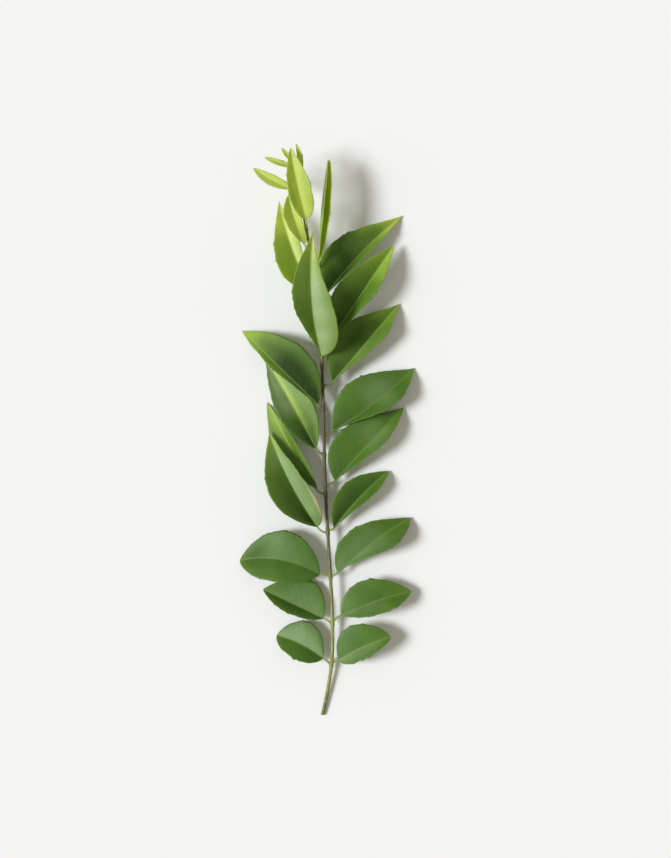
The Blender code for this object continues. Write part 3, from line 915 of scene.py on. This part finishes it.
def mottle_marks(paint, given):
    """Broad patches, fine grain and rare specks, all from 0 to 1."""
    broad = noise(paint.tree, given["Place"], given["Patch scale"], 3.0, 0.55).between(0.3, 0.7)
    grain = noise(paint.tree, given["Place"], given["Grain scale"], 3.0, 0.6)
    dots = paint.cells(given["Place"], given["Grain scale"] * SPECKS, "F1")
    rare = noise(paint.tree, given["Place"], given["Patch scale"] * RARE_SPOTS, 1.0).between(0.56, 0.72)
    return {"Patches": broad, "Grain": grain, "Specks": (1.0 - dots.between(0.08, 0.2)) * rare}


def make_effects():
    """The effects that materials share: a blade's veins, and the mottling of every plant surface."""
    return {
        "veins": effect_group(
            "leaf veins",
            {"Place": "arrow", "Veins": "number", "Fineness": "number", "Midrib width": "number"},
            ("Veins", "Midrib", "Net", "Margin"),
            vein_marks,
        ),
        "mottling": effect_group(
            "mottling",
            {"Place": "arrow", "Patch scale": "number", "Grain scale": "number"},
            ("Patches", "Grain", "Specks"),
            mottle_marks,
        ),
    }


def new_material(name):
    made = bpy.data.materials.new(name)
    made.use_nodes = True
    made.node_tree.nodes.clear()
    return made, Paint(made.node_tree)


def mottled(paint, effects, finish):
    """The mottling of a finish, and the depth of its relief."""
    patches, grains, depth = MOTTLING[finish]
    spots = paint.effect(effects["mottling"], Place=paint.place(), Patch_scale=patches, Grain_scale=grains)
    return spots, depth


def blade_material(name, effects, roughness=0.46, see_through=0.22, coat=0.08):
    """A leaf blade: green by its age, with paler veins, a lighter margin, a dull grey-green underside, and
    painted sheen and painted shade mixed into its colour.
    """
    made, paint = new_material(name)
    spots, depth = mottled(paint, effects, "leaf")
    age = paint.number("leaf_age")
    under = paint.number("under")
    marks = paint.effect(
        effects["veins"],
        Place=paint.arrow("leaf_place"),
        Veins=paint.number("leaf_veins"),
        Fineness=VEIN_FINENESS,
        Midrib_width=MIDRIB_WIDTH * MM,
    )

    shifted = age + (spots["Patches"] - 0.5) * 0.16 + (spots["Grain"] - 0.5) * 0.10
    green = paint.ramp(shifted, AGES)
    pale = paint.ramp(age, VEIN_AGES)
    # Painted light: a pale painted sheen where the value is over 0, a painted shade of deeper green where it
    # is under 0
    painted_light_share = paint.number("leaf_lighting")
    painted_shade = (painted_light_share * -1.0).math("MAXIMUM", 0.0)
    sheen_tint = paint.mixed(age.between(YOUNG, 1.0), PAINTED_SHEEN, YOUNG_PAINTED_SHEEN)
    green = paint.mixed(painted_light_share.math("MAXIMUM", 0.0), green, sheen_tint)
    green = paint.mixed(painted_shade, green, PAINTED_SHADE_GREEN)
    for mark, strength in PALE_MARKS.items():
        green = paint.mixed(marks[mark] * strength, green, pale)
    green = paint.mixed(paint.number("leaf_dry") * (spots["Grain"] * 0.5 + 0.6), green, DRIED)
    green = paint.mixed(spots["Specks"] * 0.30, green, LEAF_SPECK)
    green = paint.mixed(under * 0.55, green, PALE_UNDER)

    shader = paint.add("ShaderNodeBsdfPrincipled")
    shader.inputs["Coat Weight"].default_value = coat
    shader.inputs["Coat Roughness"].default_value = COAT_ROUGHNESS
    dull = roughness + (spots["Grain"] - 0.5) * 0.12 + under * 0.16 + marks["Veins"] * 0.05 + painted_shade * 0.7
    height = spots["Grain"] * 0.35 + marks["Net"] * 0.3 - marks["Veins"] * 0.15
    paint.surfaced(shader, green, dull, height, depth)

    glow = paint.add("ShaderNodeBsdfTranslucent")
    feed(paint.tree, paint.mixed(0.4, green, LIT_THROUGH), glow.inputs["Color"])
    both = paint.add("ShaderNodeMixShader")
    both.inputs[0].default_value = see_through
    paint.tree.links.new(shader.outputs[0], both.inputs[1])
    paint.tree.links.new(glow.outputs[0], both.inputs[2])
    paint.shown(both)
    return made


def stalk_material(effects):
    """Leaf stalks: lime low on the sprig, tan above with a green end at the blade, and paler when young."""
    made, paint = new_material("leaf_stalk")
    spots, depth = mottled(paint, effects, "stalk")
    age = paint.number("leaf_age")
    _, share, _ = paint.arrow("leaf_place").parts()
    _, y, _ = paint.place().parts()
    to_tan = y.between(LIME_BELOW * MM, TAN_ABOVE * MM)
    skin = paint.mixed(to_tan, paint.ramp(share, LIME_STALK), paint.ramp(share, TAN_STALK))
    skin = paint.mixed(age * 0.7, skin, paint.ramp(age, VEIN_AGES))
    skin = paint.mixed(spots["Patches"] * 0.25, skin, STALK_PATCH)
    skin = paint.mixed(spots["Specks"] * 0.6, skin, STALK_SPECK)
    shader = paint.add("ShaderNodeBsdfPrincipled")
    paint.surfaced(shader, skin, 0.5 + (spots["Grain"] - 0.5) * 0.2, spots["Grain"], depth)
    paint.shown(shader)
    return made


def stem_material(effects):
    """The stem's skin: pale green near the cut, olive-brown in the middle, paler above; a pale cut face."""
    made, paint = new_material("stem_skin")
    spots, depth = mottled(paint, effects, "stem")
    place = paint.place()
    _, y, _ = place.parts()
    low, high = placed(RACHIS_LINE[0])[1], placed(RACHIS_LINE[-1])[1]
    run = (y - low) / (high - low)
    skin = paint.ramp(run + (spots["Patches"] - 0.5) * 0.06, STEM_SKIN)
    streaks = noise(paint.tree, place.math("MULTIPLY", STREAKS)).between(0.42, 0.66)
    skin = paint.mixed(streaks * 0.35, skin, STEM_STREAK)
    skin = paint.mixed(spots["Specks"] * 0.7, skin, STEM_SPECK)
    skin = paint.mixed(1.0 - run.between(*CUT_DEPTH), skin, CUT_FACE)
    shader = paint.add("ShaderNodeBsdfPrincipled")
    height = spots["Grain"] + streaks * 0.5
    paint.surfaced(shader, skin, 0.52 + (spots["Grain"] - 0.5) * 0.2, height, depth)
    paint.shown(shader)
    return made


def floor_material():
    """A matt, nearly white floor with a faint grain."""
    made, paint = new_material("pale_floor")
    grain = noise(paint.tree, paint.place(), FLOOR_GRAIN, 3.0)
    shader = paint.add("ShaderNodeBsdfPrincipled")
    shader.inputs["Specular IOR Level"].default_value = 0.1
    paint.surfaced(shader, FLOOR, 0.9 + grain * 0.05, grain, FLOOR_DEPTH)
    paint.shown(shader)
    return made


# ---------------------------------------------------------------- the pieces


def evenly(line, step):
    """Points along a line, the same distance apart."""
    runs = np.concatenate([[0.0], np.cumsum(np.linalg.norm(np.diff(line, axis=0), axis=1))])
    stations = np.linspace(0.0, runs[-1], int(round(runs[-1] / step)) + 1)
    return np.column_stack([np.interp(stations, runs, line[:, axis]) for axis in range(3)])


def route_mesh(name, points, radii):
    """A line of vertices with the stem's radius at each, for the stem tree."""
    mesh = bpy.data.meshes.new(name + "_route")
    ends = [(index, index + 1) for index in range(len(points) - 1)]
    mesh.from_pydata([placed(point) for point in points], ends, [])
    thickness = mesh.attributes.new("stem_radius", "FLOAT", "POINT")
    thickness.data.foreach_set("value", [radius * MM for radius in radii])
    return mesh


def leaflet_values(leaflet, line, seed, blade, stalk, tip=False):
    """The leaflet tree's inputs for one leaflet, with lengths in metres."""
    node = point_on(line, leaflet.node)
    over_stem = point_on(line, min(leaflet.base[1], line[-1, 1]))[2]
    base = np.array((leaflet.base[0], leaflet.base[1], over_stem + leaflet.base[2]))
    chord = np.array(leaflet.tip) - base
    length = np.linalg.norm(chord)
    start = node + unit(base - node) * STALK_RADIUS
    scale = TIP_SCALE if tip else 1.0
    sizes = {
        "Far width": leaflet.far,
        "Near width": leaflet.near,
        "Arch": leaflet.arch,
        "Bow": leaflet.bow,
        "Fold radius": min(FOLD_RADIUS, FOLD_SHARE * leaflet.near),
        "Thickness": BLADE_THICKNESS,
        "Sink": SINK,
        "Tooth depth": TOOTH_DEPTH * scale,
        "Ripple": RIPPLE * scale,
        "Ripple length": RIPPLE_LENGTH,
        "Vein pitch": VEIN_PITCH * scale,
        "Vein relief": VEIN_RELIEF * scale,
        "Stalk radius": STALK_RADIUS * (TIP_STALK if tip else 1.0),
        "Rib radius": RIB_RADIUS * (TIP_RIB if tip else 1.0),
        "Rib gap": RIB_GAP,
    }
    return {
        "Base": placed(base),
        "Tip": placed(leaflet.tip),
        "Stalk start": placed(start),
        "Stalk turn": placed(base - unit(chord) * STALK_BEND * np.linalg.norm(base - start)),
        **{label: size * MM for label, size in sizes.items()},
        **{label_of(field): float(getattr(leaflet, field)) for field in LEAFLET_NUMBERS},
        "Teeth": float(round(length / (TOOTH_PITCH * math.sqrt(scale)))),
        "Seed": SEED_STEP * seed,
        "Rows": TIP_ROWS if tip else ROWS,
        "Columns": TIP_COLUMNS if tip else COLUMNS,
        "Blade material": blade,
        "Stalk material": stalk,
    }


def make_leaflets(tree, materials):
    """Each leaflet with its stalk and rib is one piece."""
    for seed, leaflet in enumerate(LEAFLETS):
        young = leaflet.youth >= YOUNG
        blade = materials["young_leaf"] if young else materials["grown_leaf"]
        values = leaflet_values(leaflet, RACHIS_LINE, seed, blade, materials["stalk"])
        piece = grown(leaflet.name + "_blade", tree, values)
        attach(piece, "root")
        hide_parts(leaflet.name)


def stem_values(seed, youth, skin):
    return {"Relief": STEM_RELIEF * MM, "Seed": seed, "Youth": youth, "Skin material": skin}


def make_rachis(tree, materials):
    points = evenly(RACHIS_LINE, STEM_STEP)
    points[0] += unit(points[1] - points[0]) * STEM_RELIEF  # so the cut face's relief stays within the solid
    source = route_mesh("rachis", points, [rachis_radius(point[1]) for point in points])
    piece = grown("rachis_stem", tree, stem_values(RACHIS_SEED, RACHIS_YOUTH, materials["stem"]), source)
    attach(piece, "root")
    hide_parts("rachis")


def make_growing_tip(stem, leaf, materials):
    """The bud's stem, from the top of the rachis on, and its tiny leaflets."""
    line = np.vstack([RACHIS_LINE[-1], BUD_LINE])
    points = evenly(line, STEM_STEP)
    plain = np.interp(points[:, 1], [point[1] for point in BUD_ROUTE], BUD_RADII)
    to_end = np.linalg.norm(points - points[-1], axis=1)
    source = route_mesh("growing_tip", points, plain * np.sqrt(np.clip(to_end / BUD_ROUNDING, 0.02, 1.0)))
    skin = materials["stalk"]
    pieces = [grown("growing_tip_stem", stem, stem_values(BUD_SEED, BUD_YOUTH, skin), source)]
    for seed, leaflet in enumerate(TIP_LEAFLETS, start=TIP_SEED):
        values = leaflet_values(leaflet, BUD_LINE, seed, materials["new_leaf"], skin, tip=True)
        pieces.append(grown("growing_" + leaflet.name, leaf, values))
    for piece in pieces:
        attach(piece, "root")
        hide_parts("growing_tip")


# ---------------------------------------------------------------- floor, light and camera

FLOOR_SIDE = 4000.0
EYE = (3.15, 0.0, 900.0)
FIELD_LONG = 360.4  # what the view's long side covers on the floor
SENSOR = 36.0
# Lights: height over the surface and the side they come from (anticlockwise from +X), in degrees, then
# strength, how wide each looks in degrees, and colour.
LIGHTS = {
    "window_light": (46.5, 184.0, 2.70, 18.0, (0.90, 0.935, 1.0)),
    "low_light": (36.0, 186.0, 0.36, 30.0, (0.92, 0.95, 1.0)),
}
SKY_COLOUR = (1.0, 0.95, 0.82, 1.0)
SKY_STRENGTH = 0.36


def make_floor():
    half = 0.5 * FLOOR_SIDE * MM
    corners = [(-half, -half, 0), (half, -half, 0), (half, half, 0), (-half, half, 0)]
    mesh = bpy.data.meshes.new("floor")
    mesh.from_pydata(corners, [], [(0, 1, 2, 3)])
    mesh.materials.append(floor_material())
    floor = bpy.data.objects.new("floor", mesh)
    bpy.context.scene.collection.objects.link(floor)


def make_light():
    for name, (elevation, side, strength, width, colour) in LIGHTS.items():
        lamp = bpy.data.lights.new(name, "SUN")
        lamp.energy = strength
        lamp.angle = math.radians(width)
        lamp.color = colour
        sun = bpy.data.objects.new(name, lamp)
        turn, rise = math.radians(side), math.radians(elevation)
        towards = Vector((math.cos(turn) * math.cos(rise), math.sin(turn) * math.cos(rise), math.sin(rise)))
        sun.rotation_euler = towards.to_track_quat("Z", "Y").to_euler()
        bpy.context.scene.collection.objects.link(sun)
    sky = bpy.data.worlds.new("soft_room")
    sky.use_nodes = True
    back = sky.node_tree.nodes["Background"]
    back.inputs["Color"].default_value = SKY_COLOUR
    back.inputs["Strength"].default_value = SKY_STRENGTH
    bpy.context.scene.world = sky
    bpy.context.scene.view_settings.view_transform = "Standard"


def make_camera():
    lens = bpy.data.cameras.new("camera")
    lens.sensor_width = SENSOR
    lens.lens = SENSOR * EYE[2] / FIELD_LONG
    camera = bpy.data.objects.new("camera", lens)
    camera.location = placed(EYE)
    bpy.context.scene.collection.objects.link(camera)
    bpy.context.scene.camera = camera


def main():
    effects = make_effects()
    materials = {
        "grown_leaf": blade_material("grown_leaf_blade", effects),
        "young_leaf": blade_material("young_leaf_blade", effects, roughness=0.44, see_through=0.42),
        "new_leaf": blade_material("new_leaf_blade", effects, roughness=0.44, see_through=0.45, coat=0.15),
        "stalk": stalk_material(effects),
        "stem": stem_material(effects),
    }
    stem = stem_tree()
    leaf = leaflet_tree()
    make_leaflets(leaf, materials)
    make_rachis(stem, materials)
    make_growing_tip(stem, leaf, materials)
    make_floor()
    make_light()
    make_camera()


main()

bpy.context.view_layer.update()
